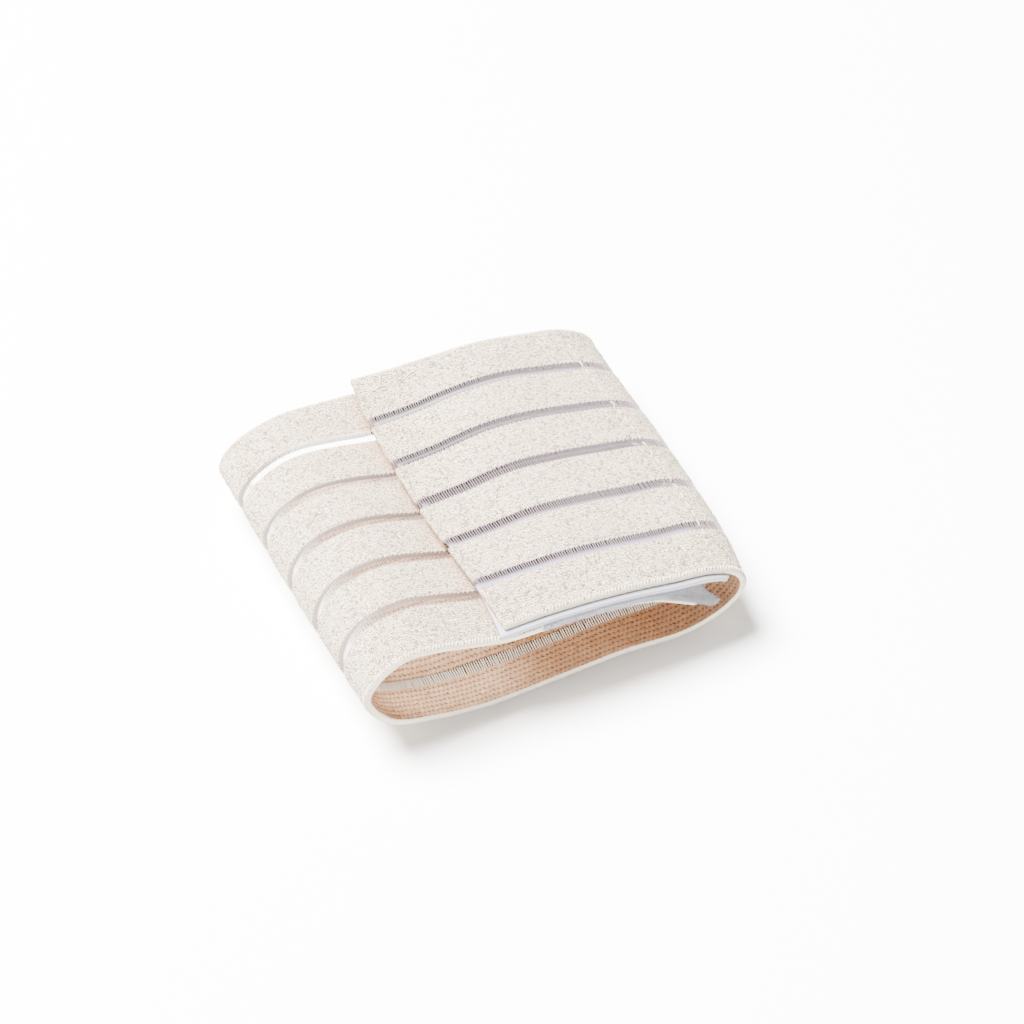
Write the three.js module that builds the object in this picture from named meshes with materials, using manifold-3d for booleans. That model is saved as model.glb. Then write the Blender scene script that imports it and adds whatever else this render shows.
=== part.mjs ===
// Wrist wrap: one elastic strap closed into a flattened loop, lying on a table.
//
// The strap is six knitted elastic ribs side by side, joined by five narrow open ladders.
// Its flap laps over its tucked end, and two closure tapes lie between them: the hook tape
// under the flap, and the loop tape on the tucked end.
//
// Millimetres, +Z up. +X runs from the left fold to the right fold, +Y from the open front
// side to the back. The origin is on the floor, below the middle of the loop.

import * as THREE from "three";
import { mergeVertices } from "three/addons/utils/BufferGeometryUtils.js";
import Module from "manifold-3d";

const wasm = await Module();
wasm.setup();

// Driving sizes of the loop and the strap
const LOOP_LENGTH = 90; // flattened loop, fold to fold
const LOOP_HEIGHT = 27.3; // floor to the crest of the front hump
const FRONT_TAPER = 3.2; // how much shorter the loop is at its front edge
const FLAP_END_BOW = 2; // how far the flap's cut end bulges out between its corners
const STRAP_WIDTH = 80; // selvedge to selvedge
const RIB_COUNT = 6;
const RIB_THICKNESS = 1.3;

// Driving sizes of the ladders between the ribs
const LADDER_WIDTH = 2.8; // rib edge to rib edge
const LADDER_THICKNESS = 0.5;
const LADDER_RAIL = 0.45; // edge band along each side of a ladder
const LADDER_RUNG = 0.8; // strip left between two windows
const LADDER_WINDOWS = 16; // windows along one ladder

// Driving sizes of the closure tapes
const HOOK_THICKNESS = 0.9;
const HOOK_LENGTH = 57.2; // from its left end to the tips of its teeth
const HOOK_LEFT_OVERHANG = 1.4; // how far its front left corner shows beyond the flap's end
const HOOK_SLANT = 2; // how far its left end runs back under the flap by the back selvedge
const PILE_THICKNESS = 1.2;
const PILE_LENGTH = 42.5;
const PILE_RIGHT_OVERHANG = 2.8; // how far its teeth stand beyond the tucked end
const TAPE_FRONT_OVERHANG = 1.2; // how far both tapes show beyond the front selvedge
const TAPE_BACK_INSET = 0.8;
const TOOTH_PITCH = 5; // pinked right ends
const TOOTH_DEPTH = 2.6;

// Clearance between neighbouring pieces
const CLEARANCE = 0.3;

// Steps of the facets along and across the cloth
const RIB_STEPS = 58;
const RIB_COLUMNS = 2;
const WINDOW_STEPS = 3;
const TAPE_STEPS = 12;

// Sizes that follow from the driving ones
const RIB_WIDTH = (STRAP_WIDTH - (RIB_COUNT - 1) * LADDER_WIDTH) / RIB_COUNT;
const RIB_PITCH = RIB_WIDTH + LADDER_WIDTH;
const HALF_WIDTH = STRAP_WIDTH / 2;
const LAP_DEPTH = RIB_THICKNESS + HOOK_THICKNESS + PILE_THICKNESS + 3 * CLEARANCE;

// Rows across the strap, from the front selvedge (0) to the back one (1)
const LADDER_ROW = (RIB_WIDTH + LADDER_WIDTH / 2) / STRAP_WIDTH;
const ROWS = [
  { name: "front", across: 0 },
  { name: "frontLadder", across: LADDER_ROW },
  { name: "middle", across: 0.5 },
  { name: "backLadder", across: 1 - LADDER_ROW },
  { name: "back", across: 1 },
];

// A short table: one object per line, with its values under the named columns
function table(columns, lines) {
  return lines.map((line) => Object.fromEntries(columns.map((name, i) => [name, line[i]])));
}

// The outer face round the loop. x is a share of LOOP_LENGTH, and each row's column is a
// height as a share of LOOP_HEIGHT. A height just below 0 lies flat on the floor.
const LOOP_COLUMNS = ["at", "x", ...ROWS.map((row) => row.name)];
const LOOP_SECTIONS = table(LOOP_COLUMNS, [
  ["flap end", 0.35, 0.925, 0.962, 0.892, 0.868, 0.949],
  ["flap brow", 0.444, 0.934, 0.96, 0.923, 0.883, 0.934],
  ["flap crest", 0.567, 0.919, 0.952, 0.978, 0.938, 0.938],
  ["flap slope", 0.689, 0.879, 0.905, 0.938, 0.934, 0.93],
  ["flap dip", 0.8, 0.821, 0.846, 0.868, 0.857, 0.868],
  ["flap shoulder", 0.9, 0.773, 0.806, 0.795, 0.769, 0.795],
  ["right fold top", 0.967, 0.681, 0.718, 0.681, 0.659, 0.67],
  ["right fold high", 0.993, 0.586, 0.601, 0.571, 0.557, 0.564],
  ["right fold", 1, 0.491, 0.469, 0.44, 0.44, 0.44],
  ["right fold low", 0.987, 0.374, 0.315, 0.271, 0.271, 0.271],
  ["right fold foot", 0.933, 0.238, 0.154, 0.099, 0.099, 0.099],
  ["base right", 0.833, 0.143, 0.059, 0.015, 0.011, 0.011],
  ["base rise", 0.667, 0.161, 0.055, -0.011, -0.011, -0.007],
  ["base middle", 0.489, 0.128, 0.011, -0.011, -0.011, 0.004],
  ["base left", 0.3, 0.103, -0.007, -0.011, -0.011, 0.004],
  ["left fold foot", 0.156, 0.172, 0.066, 0.011, 0.007, 0.015],
  ["left fold low", 0.067, 0.267, 0.179, 0.132, 0.121, 0.125],
  ["left fold heel", 0.018, 0.447, 0.381, 0.3, 0.278, 0.278],
  ["left fold", 0, 0.608, 0.571, 0.484, 0.44, 0.44],
  ["left fold high", 0.013, 0.733, 0.755, 0.656, 0.571, 0.571],
  ["left fold top", 0.056, 0.875, 0.923, 0.824, 0.711, 0.696],
  ["hump rise", 0.111, 0.952, 0.989, 0.897, 0.799, 0.773],
  ["hump crest", 0.172, 0.938, 1, 0.912, 0.821, 0.817],
  ["hump fall", 0.244, 0.882, 0.937, 0.868, 0.79, 0.811],
]);

// The tucked end follows the flap from below. along is a share of the flap's way from its cut
// end to the right fold, and each row's column says how far the strap hangs below its snug
// place under both tapes, as a share of LAP_DEPTH.
const TUCK_COLUMNS = ["at", "along", ...ROWS.map((row) => row.name)];
const TUCK_SECTIONS = table(TUCK_COLUMNS, [
  ["under the flap's end", 0.01, -0.12, -0.2, -0.2, -0.1, 0],
  ["loop tape starts", 0.1, 0, 0, 0, 0, 0],
  ["snug", 0.54, 0, 0, 0, 0, 0],
  ["parting", 0.63, 0.2, 0.14, 0.09, 0.09, 0.09],
  ["drooping", 0.71, 0.68, 0.48, 0.3, 0.25, 0.25],
  ["tip", 0.78, 0.98, 0.72, 0.46, 0.4, 0.4],
]);
const TUCK_STEPS = 12;

// A smooth value at x through the points (xs[i], ys[i]), with xs rising
function smooth(x, xs, ys) {
  const last = xs.length - 1;
  let i = 0;
  while (i < last - 1 && x > xs[i + 1]) i += 1;
  const slope = (k) => {
    const a = Math.max(k - 1, 0);
    const b = Math.min(k + 1, last);
    return (ys[b] - ys[a]) / (xs[b] - xs[a]);
  };
  const span = xs[i + 1] - xs[i];
  const t = THREE.MathUtils.clamp((x - xs[i]) / span, 0, 1);
  const rise = ys[i + 1] - ys[i];
  const bend = t * (1 - t) * ((1 - t) * (slope(i) * span - rise) + t * (rise - slope(i + 1) * span));
  return ys[i] + rise * t + bend;
}

// The loop narrows towards its front selvedge: the share of FRONT_TAPER at a row
function taperAt(across) {
  return Math.max(0, 1 - across / 0.45) ** 2;
}

// Points of one row on the outer face, from the flap's end to the top of the hump
function loopPoints(row) {
  return LOOP_SECTIONS.map((section, i) => {
    const bow = i === 0 ? FLAP_END_BOW * 4 * row.across * (1 - row.across) : 0;
    const x = section.x * (LOOP_LENGTH - FRONT_TAPER * taperAt(row.across) * section.x) - bow;
    return new THREE.Vector3(x, 0, section[row.name] * LOOP_HEIGHT);
  });
}

// Unit vector out of the loop, square to a tangent in the X-Z plane
function outward(tangent) {
  return new THREE.Vector3(-tangent.z, 0, tangent.x).normalize();
}

// Points of one row on the tucked end, which lies under the flap and both tapes
function tuckPoints(row, flap) {
  const alongs = TUCK_SECTIONS.map((section) => section.along);
  const drops = TUCK_SECTIONS.map((section) => section[row.name]);
  const first = alongs[0];
  const last = alongs[alongs.length - 1];
  return Array.from({ length: TUCK_STEPS + 1 }, (_, i) => {
    const along = first + ((last - first) * i) / TUCK_STEPS;
    const depth = LAP_DEPTH * (1 + smooth(along, alongs, drops));
    return flap.getPointAt(along).addScaledVector(outward(flap.getTangentAt(along)), -depth);
  });
}

// One curve per row, all the way from the flap's cut end to the tucked end
const foldIndex = LOOP_SECTIONS.findIndex((section) => section.at === "right fold");
const rowCurves = ROWS.map((row) => {
  const points = loopPoints(row);
  const flap = new THREE.CatmullRomCurve3(points.slice(0, foldIndex + 1), false, "centripetal");
  const whole = points.concat(tuckPoints(row, flap));
  const curve = new THREE.CatmullRomCurve3(whole, false, "centripetal");
  curve.arcLengthDivisions = 600;
  return curve;
});
const rowAcross = ROWS.map((row) => row.across);
const rowLengths = rowCurves.map((curve) => curve.getLength());
const STRAP_LENGTH = rowLengths.reduce((sum, length) => sum + length, 0) / rowLengths.length;

// The outer face at s mm from the flap's cut end and y mm from the strap's middle line.
// Past either end the cloth goes on straight.
function outerFace(s, y) {
  const nearest = THREE.MathUtils.clamp(s, 0, STRAP_LENGTH);
  const beyond = s - nearest;
  const across = THREE.MathUtils.clamp((y + HALF_WIDTH) / STRAP_WIDTH, 0, 1);
  const points = rowCurves.map((curve) => curve.getPointAt(nearest / STRAP_LENGTH));
  const point = new THREE.Vector3(
    smooth(across, rowAcross, points.map((p) => p.x)),
    y,
    smooth(across, rowAcross, points.map((p) => p.z)),
  );
  if (beyond !== 0) {
    const inside = outerFace(nearest - Math.sign(beyond), y);
    point.addScaledVector(point.clone().sub(inside).normalize(), Math.abs(beyond));
  }
  point.z = Math.max(point.z, 0);
  return point;
}

// A point at some height over the outer face, or below it where height is negative
function clothPoint(s, y, height) {
  const reach = 0.5;
  const tangent = outerFace(s + reach, y).sub(outerFace(s - reach, y));
  return outerFace(s, y).addScaledVector(outward(tangent), height);
}

// A closed sheet of cloth between two heights over the outer face. It has a cell between
// each two neighbours of lengths and of widths, and open(i, j) tells which cells are holes.
// slant moves its back edge along the strap.
function clothSheet({ lengths, widths, top, bottom, slant = 0, open = () => false }) {
  const columns = widths.length;
  const positions = [];
  for (const height of [top, bottom]) {
    for (const s of lengths) {
      for (const y of widths) {
        const shift = (slant * (y - widths[0])) / (widths[columns - 1] - widths[0]);
        positions.push(...clothPoint(s + shift, y, height).toArray());
      }
    }
  }
  const layer = lengths.length * columns;
  const corner = (side, i, j) => side * layer + i * columns + j;
  const solid = (i, j) =>
    i >= 0 && j >= 0 && i < lengths.length - 1 && j < columns - 1 && !open(i, j);
  const index = [];
  const face = (a, b, c, d) => index.push(a, b, c, a, c, d);
  const wall = (i0, j0, i1, j1) =>
    face(corner(1, i0, j0), corner(1, i1, j1), corner(0, i1, j1), corner(0, i0, j0));
  for (let i = 0; i < lengths.length - 1; i += 1) {
    for (let j = 0; j < columns - 1; j += 1) {
      if (!solid(i, j)) continue;
      face(corner(0, i, j), corner(0, i + 1, j), corner(0, i + 1, j + 1), corner(0, i, j + 1));
      face(corner(1, i, j), corner(1, i, j + 1), corner(1, i + 1, j + 1), corner(1, i + 1, j));
      if (!solid(i, j - 1)) wall(i, j, i + 1, j);
      if (!solid(i + 1, j)) wall(i + 1, j, i + 1, j + 1);
      if (!solid(i, j + 1)) wall(i + 1, j + 1, i, j + 1);
      if (!solid(i - 1, j)) wall(i, j + 1, i, j);
    }
  }
  const geometry = new THREE.BufferGeometry();
  geometry.setAttribute("position", new THREE.Float32BufferAttribute(positions, 3));
  geometry.setIndex(index);
  return geometry;
}

// count + 1 even steps from a to b
function steps(a, b, count) {
  return Array.from({ length: count + 1 }, (_, i) => a + ((b - a) * i) / count);
}

function ribBack(k) {
  return HALF_WIDTH - k * RIB_PITCH;
}

function ribGeometry(k) {
  return clothSheet({
    lengths: steps(0, STRAP_LENGTH, RIB_STEPS),
    widths: steps(ribBack(k) - RIB_WIDTH, ribBack(k), RIB_COLUMNS),
    top: 0,
    bottom: -RIB_THICKNESS,
  });
}

// A ladder lies at mid-thickness between two ribs. Every run of WINDOW_STEPS cells is a
// window between its two rails, and the next cell is a rung.
function ladderGeometry(k) {
  const back = ribBack(k) - RIB_WIDTH - CLEARANCE;
  const front = ribBack(k) - RIB_PITCH + CLEARANCE;
  const windowLength = (STRAP_LENGTH - (LADDER_WINDOWS + 1) * LADDER_RUNG) / LADDER_WINDOWS;
  const lengths = [0];
  for (let n = 0; n < LADDER_WINDOWS; n += 1) {
    const start = LADDER_RUNG + n * (windowLength + LADDER_RUNG);
    lengths.push(...steps(start, start + windowLength, WINDOW_STEPS));
  }
  lengths.push(STRAP_LENGTH);
  const middle = -RIB_THICKNESS / 2;
  return clothSheet({
    lengths,
    widths: [front, front + LADDER_RAIL, back - LADDER_RAIL, back],
    top: middle + LADDER_THICKNESS / 2,
    bottom: middle - LADDER_THICKNESS / 2,
    open: (i, j) => j === 1 && i % (WINDOW_STEPS + 1) !== 0,
  });
}

function toSolid(geometry) {
  const merged = mergeVertices(geometry.clone().deleteAttribute("normal"), 1e-5);
  return new wasm.Manifold(
    new wasm.Mesh({
      numProp: 3,
      vertProperties: new Float32Array(merged.attributes.position.array),
      triVerts: new Uint32Array(merged.index.array),
    }),
  );
}

function toGeometry(solid) {
  const mesh = solid.getMesh();
  const geometry = new THREE.BufferGeometry();
  geometry.setAttribute("position", new THREE.BufferAttribute(mesh.vertProperties, 3));
  geometry.setIndex(new THREE.BufferAttribute(mesh.triVerts, 1));
  return geometry;
}

// Cuts the right end of a tape into saw teeth with their tips at tipX
function pinked(geometry, tipX) {
  geometry.computeBoundingBox();
  const { min, max } = geometry.boundingBox;
  const margin = TOOTH_PITCH;
  const cutter = new THREE.Shape();
  cutter.moveTo(max.x + margin, min.y - margin);
  const teeth = Math.ceil((max.y - min.y + 2 * margin) / TOOTH_PITCH);
  for (let n = 0; n <= teeth; n += 1) {
    const y = min.y - margin + n * TOOTH_PITCH;
    cutter.lineTo(tipX - TOOTH_DEPTH, y);
    cutter.lineTo(tipX, y + TOOTH_PITCH / 2);
  }
  cutter.lineTo(max.x + margin, min.y - margin + (teeth + 1) * TOOTH_PITCH);
  const block = new THREE.ExtrudeGeometry(cutter, {
    depth: max.z - min.z + 2 * margin,
    bevelEnabled: false,
  });
  block.deleteAttribute("uv");
  block.translate(0, 0, min.z - margin);
  return toGeometry(toSolid(geometry).subtract(toSolid(block)));
}

// A closure tape runs from start to start + length with its top at the given height, bends
// across where the ribs do, and is pinked at its right end
function tapeGeometry({ start, length, top, thickness, slant }) {
  const front = -HALF_WIDTH - TAPE_FRONT_OVERHANG;
  const back = HALF_WIDTH - TAPE_BACK_INSET;
  const ribEdges = [];
  for (let k = RIB_COUNT - 1; k >= 0; k -= 1) ribEdges.push(ribBack(k) - RIB_WIDTH, ribBack(k));
  const sheet = clothSheet({
    lengths: steps(start, start + length, TAPE_STEPS),
    widths: [front, ...ribEdges.slice(0, -1), back],
    top,
    bottom: top - thickness,
    slant,
  });
  return pinked(sheet, clothPoint(start + length, front, top - thickness).x);
}

const hookGeometry = tapeGeometry({
  start: -HOOK_LEFT_OVERHANG,
  length: HOOK_LENGTH,
  top: -RIB_THICKNESS - CLEARANCE,
  thickness: HOOK_THICKNESS,
  slant: HOOK_SLANT,
});
const pileGeometry = tapeGeometry({
  start: STRAP_LENGTH + PILE_RIGHT_OVERHANG - PILE_LENGTH,
  length: PILE_LENGTH,
  top: CLEARANCE + PILE_THICKNESS,
  thickness: PILE_THICKNESS,
  slant: 0,
});

const knit = { color: 0xe9dfd2, roughness: 0.92, metalness: 0 };
const filament = { color: 0xb9a79a, roughness: 0.45, metalness: 0 };
const hookTape = { color: 0xe6e3ee, roughness: 0.6, metalness: 0 };
const pileTape = { color: 0xd8d5db, roughness: 0.98, metalness: 0 };

const wrap = new THREE.Group();

function addPiece(name, geometry, finish) {
  const mesh = new THREE.Mesh(geometry, new THREE.MeshStandardMaterial(finish));
  mesh.name = name;
  wrap.add(mesh);
}

for (let k = 0; k < RIB_COUNT; k += 1) addPiece(`elastic_rib_${k + 1}`, ribGeometry(k), knit);
for (let k = 0; k < RIB_COUNT - 1; k += 1) {
  addPiece(`ladder_band_${k + 1}`, ladderGeometry(k), filament);
}
addPiece("hook_tape", hookGeometry, hookTape);
addPiece("loop_tape", pileGeometry, pileTape);

// The origin goes below the middle of the whole wrap
const box = new THREE.Box3().setFromObject(wrap);
const middle = box.getCenter(new THREE.Vector3());
wrap.position.set(-middle.x, -middle.y, -box.min.z);

export default wrap;
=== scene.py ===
# %% [markdown]
# # A wrist wrap, closed and lying on a table
# The real wrap is one elastic strap. Six knitted ribs run along it, and between each two of
# them only clear filaments cross, so the skin can breathe. The strap is closed into a flat
# loop. Its flap lies over its tucked end, and two closure tapes sit between them.
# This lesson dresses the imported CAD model. Every piece below is made again as finer geometry
# in the same place, so that the cloth shows its knit, its bound edges and its sewing.

import bpy
import numpy as np
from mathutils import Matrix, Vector


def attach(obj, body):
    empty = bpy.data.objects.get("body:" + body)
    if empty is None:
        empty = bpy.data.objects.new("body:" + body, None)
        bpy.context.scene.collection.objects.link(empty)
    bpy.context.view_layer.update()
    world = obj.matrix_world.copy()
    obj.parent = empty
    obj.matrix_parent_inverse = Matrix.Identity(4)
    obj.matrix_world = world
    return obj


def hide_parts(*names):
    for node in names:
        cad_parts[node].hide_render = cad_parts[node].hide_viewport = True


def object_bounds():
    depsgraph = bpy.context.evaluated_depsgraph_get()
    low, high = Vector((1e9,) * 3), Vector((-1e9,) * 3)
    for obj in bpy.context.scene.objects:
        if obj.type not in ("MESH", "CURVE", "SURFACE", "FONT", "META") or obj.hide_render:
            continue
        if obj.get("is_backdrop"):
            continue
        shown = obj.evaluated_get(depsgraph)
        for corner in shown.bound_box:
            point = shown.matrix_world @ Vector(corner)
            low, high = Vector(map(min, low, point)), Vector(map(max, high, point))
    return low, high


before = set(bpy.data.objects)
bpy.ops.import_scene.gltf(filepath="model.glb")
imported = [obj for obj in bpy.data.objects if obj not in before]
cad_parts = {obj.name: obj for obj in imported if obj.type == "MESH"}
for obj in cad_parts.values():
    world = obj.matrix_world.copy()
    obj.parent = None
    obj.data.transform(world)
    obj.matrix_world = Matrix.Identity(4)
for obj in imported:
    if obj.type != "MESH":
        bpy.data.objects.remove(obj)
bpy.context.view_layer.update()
MM = 0.001

# %% [markdown]
# ## The camera
# The photo was taken from the front left and 45 degrees above the table, with a long lens.
# The camera comes first, because every later choice is judged through it.

# %% Camera
camera = bpy.data.objects.new("camera", bpy.data.cameras.new("camera"))
bpy.context.scene.collection.objects.link(camera)
bpy.context.scene.camera = camera
camera.location = (-0.21777, -0.48004, 0.54331)
look_at = Vector((0.00636, 0.00060, 0.01298))
camera.rotation_mode = "QUATERNION"
camera.rotation_quaternion = (look_at - camera.location).to_track_quat("-Z", "Y")
camera.data.sensor_width = 36
camera.data.lens = 123.496
camera.data.clip_start = 0.05
camera.data.clip_end = 20
print("camera distance in mm:", round((camera.location - look_at).length / MM))

# %% [markdown]
# ## The sizes
# These are the CAD source's own sizes, in millimetres. The strap is measured from the flap's
# cut end (s = 0) along its outer face, and from its middle line (y = 0) across. Only the loop
# tape is shown 1.8 mm longer than its solid, so that its teeth reach as far as in the photo.

# %% Sizes of the strap and the tapes
LOOP_LENGTH = 90
LOOP_HEIGHT = 27.3
FRONT_TAPER = 3.2
FLAP_END_BOW = 2
HALF_WIDTH = 40
RIB_COUNT = 6
RIB_WIDTH = 11
RIB_PITCH = 13.8
RIB_THICKNESS = 1.3
LAP_DEPTH = 4.3
TAPE_FRONT = -41.2
TAPE_BACK = 39.2
TOOTH_PITCH = 5
TOOTH_DEPTH = 2.6
HOOK_LENGTH = 57.2
HOOK_OVERHANG = 1.4
HOOK_SLANT = 2
PILE_LENGTH = 42.5
PILE_LENGTH_SHOWN = 44.3
PILE_OVERHANG = 2.8
FULL_TURN = 6.2832
LOWEST = 0.00001  # in metres, over the table
CAD_SHIFT = np.array([-45.057, 0.6, 0.0])
rng = np.random.default_rng(11)


def rib_back(k):
    """The y of the back edge of rib k, where rib 0 is the back one."""
    return HALF_WIDTH - k * RIB_PITCH


# %% [markdown]
# ## The strap's path
# Five rows run round the loop: the front selvedge, the middle of the front ladder, the middle
# of the strap, the middle of the back ladder, and the back selvedge. Each line below holds x
# as a share of the loop's length, then the height of the five rows as a share of its height.

# %% Tables of the loop and the tucked end
ROW_ACROSS = np.array([0, 0.155, 0.5, 0.845, 1])
LOOP_SECTIONS = [
    (0.35, 0.925, 0.962, 0.892, 0.868, 0.949),
    (0.444, 0.934, 0.96, 0.923, 0.883, 0.934),
    (0.567, 0.919, 0.952, 0.978, 0.938, 0.938),
    (0.689, 0.879, 0.905, 0.938, 0.934, 0.93),
    (0.8, 0.821, 0.846, 0.868, 0.857, 0.868),
    (0.9, 0.773, 0.806, 0.795, 0.769, 0.795),
    (0.967, 0.681, 0.718, 0.681, 0.659, 0.67),
    (0.993, 0.586, 0.601, 0.571, 0.557, 0.564),
    (1, 0.491, 0.469, 0.44, 0.44, 0.44),
    (0.987, 0.374, 0.315, 0.271, 0.271, 0.271),
    (0.933, 0.238, 0.154, 0.099, 0.099, 0.099),
    (0.833, 0.143, 0.059, 0.015, 0.011, 0.011),
    (0.667, 0.161, 0.055, -0.011, -0.011, -0.007),
    (0.489, 0.128, 0.011, -0.011, -0.011, 0.004),
    (0.3, 0.103, -0.007, -0.011, -0.011, 0.004),
    (0.156, 0.172, 0.066, 0.011, 0.007, 0.015),
    (0.067, 0.267, 0.179, 0.132, 0.121, 0.125),
    (0.018, 0.447, 0.381, 0.3, 0.278, 0.278),
    (0, 0.608, 0.571, 0.484, 0.44, 0.44),
    (0.013, 0.733, 0.755, 0.656, 0.571, 0.571),
    (0.056, 0.875, 0.923, 0.824, 0.711, 0.696),
    (0.111, 0.952, 0.989, 0.897, 0.799, 0.773),
    (0.172, 0.938, 1, 0.912, 0.821, 0.817),
    (0.244, 0.882, 0.937, 0.868, 0.79, 0.811),
]
FLAP_SECTIONS = 9
TUCK_SECTIONS = [
    (0.01, -0.12, -0.2, -0.2, -0.1, 0),
    (0.1, 0, 0, 0, 0, 0),
    (0.54, 0, 0, 0, 0, 0),
    (0.63, 0.2, 0.14, 0.09, 0.09, 0.09),
    (0.71, 0.68, 0.48, 0.3, 0.25, 0.25),
    (0.78, 0.98, 0.72, 0.46, 0.4, 0.4),
]
print(len(LOOP_SECTIONS), "sections round the loop")


# %% [markdown]
# ## Curves
# The same smooth curves as in the CAD source, worked out here for whole arrays of points at
# once, since the visual pieces have far more of them.

# %% Smooth curves
def smooth(x, xs, ys):
    """A smooth value at x through the points (xs[i], ys[i]). ys may hold one row per point."""
    x = np.asarray(x, float)
    xs = np.asarray(xs, float)
    ys = np.asarray(ys, float)
    if ys.ndim == 1:
        ys = ys.reshape((-1,) + (1,) * x.ndim) * np.ones((1,) + x.shape)
    last = len(xs) - 1
    before = np.maximum(np.arange(last + 1) - 1, 0)
    after = np.minimum(np.arange(last + 1) + 1, last)
    runs = (xs[after] - xs[before]).reshape((-1,) + (1,) * x.ndim)
    slopes = (ys[after] - ys[before]) / runs
    i = np.clip(np.searchsorted(xs, x) - 1, 0, last - 1)

    def at(values, index):
        return np.take_along_axis(values, index[None], 0)[0]

    span = xs[i + 1] - xs[i]
    t = np.clip((x - xs[i]) / span, 0, 1)
    rise = at(ys, i + 1) - at(ys, i)
    bend_in = (1 - t) * (at(slopes, i) * span - rise)
    bend_out = t * (rise - at(slopes, i + 1) * span)
    return at(ys, i) + rise * t + t * (1 - t) * (bend_in + bend_out)


def flowing_curve(points, samples=100):
    """Close-set points of a centripetal Catmull-Rom curve through the given ones."""
    p = np.asarray(points, float)
    p = np.vstack([2 * p[0] - p[1], p, 2 * p[-1] - p[-2]])
    t = np.linspace(0, 1, samples, endpoint=False)[:, None]
    spans = []
    for p0, p1, p2, p3 in zip(p, p[1:], p[2:], p[3:]):
        d0 = np.linalg.norm(p1 - p0) ** 0.5
        d1 = np.linalg.norm(p2 - p1) ** 0.5
        d2 = np.linalg.norm(p3 - p2) ** 0.5
        m1 = ((p1 - p0) / d0 - (p2 - p0) / (d0 + d1) + (p2 - p1) / d1) * d1
        m2 = ((p2 - p1) / d1 - (p3 - p1) / (d1 + d2) + (p3 - p2) / d2) * d1
        squared = 3 * (p2 - p1) - 2 * m1 - m2
        cubed = 2 * (p1 - p2) + m1 + m2
        spans.append(p1 + m1 * t + squared * t**2 + cubed * t**3)
    spans.append(p[-2][None])
    return np.vstack(spans)


def distances(curve):
    """How far along the curve each of its points lies."""
    steps = np.linalg.norm(np.diff(curve, axis=0), axis=1)
    return np.concatenate([[0], np.cumsum(steps)])


def walk(curve, along, shares):
    """Points at the given shares of the curve's length."""
    reach = np.asarray(shares) * along[-1]
    return np.stack([np.interp(reach, along, curve[:, k]) for k in (0, 1)], -1)


# %% [markdown]
# ## The rows
# Each row of the table becomes one smooth path: over the flap, round the right fold, along the
# table, round the left fold and back under the flap. From fold to fold the loop is a little
# shorter at its front edge.

# %% Rows round the loop
def row_curve(row, across):
    """One row's whole path in the X-Z plane, from the flap's end to the tucked end."""
    taper = max(0, 1 - across / 0.45) ** 2
    points = []
    for n, section in enumerate(LOOP_SECTIONS):
        bow = FLAP_END_BOW * 4 * across * (1 - across) if n == 0 else 0
        x = section[0] * (LOOP_LENGTH - FRONT_TAPER * taper * section[0]) - bow
        points.append((x, section[1 + row] * LOOP_HEIGHT))
    flap = flowing_curve(points[:FLAP_SECTIONS])
    flap_along = distances(flap)
    alongs = [section[0] for section in TUCK_SECTIONS]
    drops = [section[1 + row] for section in TUCK_SECTIONS]
    along = np.linspace(alongs[0], alongs[-1], 13)
    depth = LAP_DEPTH * (1 + smooth(along, alongs, drops))
    ahead = walk(flap, flap_along, along + 1e-4)
    behind = walk(flap, flap_along, along - 1e-4)
    tangent = (ahead - behind) / np.linalg.norm(ahead - behind, axis=1)[:, None]
    out = np.stack([-tangent[:, 1], tangent[:, 0]], 1)
    tucked = walk(flap, flap_along, along) - out * depth[:, None]
    curve = flowing_curve(points + [tuple(point) for point in tucked])
    return curve, distances(curve)


rows = [row_curve(row, across) for row, across in enumerate(ROW_ACROSS)]
STRAP_LENGTH = float(np.mean([along[-1] for curve, along in rows]))
print("strap length in mm:", round(STRAP_LENGTH, 2))


# %% [markdown]
# ## A point on the cloth
# Everything that lies on the strap is placed with one function: how far along it, how far
# across it, and how high over its outer face. Threads, stitches and tapes then follow the
# cloth wherever it bends.

# %% Points on the cloth
def outer_face(s, y):
    """Points on the outer face. Past either end of the strap the cloth goes on straight."""
    s = np.asarray(s, float)
    y = np.asarray(y, float) + 0 * s
    nearest = np.clip(s, 0, STRAP_LENGTH)
    beyond = s - nearest
    across = np.clip((y + HALF_WIDTH) / (2 * HALF_WIDTH), 0, 1)
    found = np.stack([walk(curve, along, nearest / STRAP_LENGTH) for curve, along in rows])
    x = smooth(across, ROW_ACROSS, found[..., 0])
    z = smooth(across, ROW_ACROSS, found[..., 1])
    point = np.stack([x, y, z], -1)
    if np.any(beyond != 0):
        inside = outer_face(nearest - np.sign(beyond), y)
        step = point - inside
        size = np.linalg.norm(step, axis=-1, keepdims=True)
        point = point + step / np.where(size == 0, 1, size) * np.abs(beyond)[..., None]
    point[..., 2] = np.maximum(point[..., 2], 0)
    return point


def cloth_point(s, y, height):
    """Points at some height over the outer face, in metres in the shared frame."""
    s, y, height = np.broadcast_arrays(*(np.asarray(v, float) for v in (s, y, height)))
    tangent = outer_face(s + 0.5, y) - outer_face(s - 0.5, y)
    out = np.stack([-tangent[..., 2], 0 * tangent[..., 0], tangent[..., 0]], -1)
    out /= np.linalg.norm(out, axis=-1, keepdims=True)
    point = outer_face(s, y) + out * height[..., None] + CAD_SHIFT
    point[..., 2] = np.maximum(point[..., 2], 0.02)
    return point * MM


# %% [markdown]
# ## Building meshes
# Two builders make every mesh here: one from quads, and one for many thin strands at once.
# Each mesh carries a map called cloth, in millimetres, that the finishes read: along and
# across for a sheet, along and round for a strand.

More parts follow.
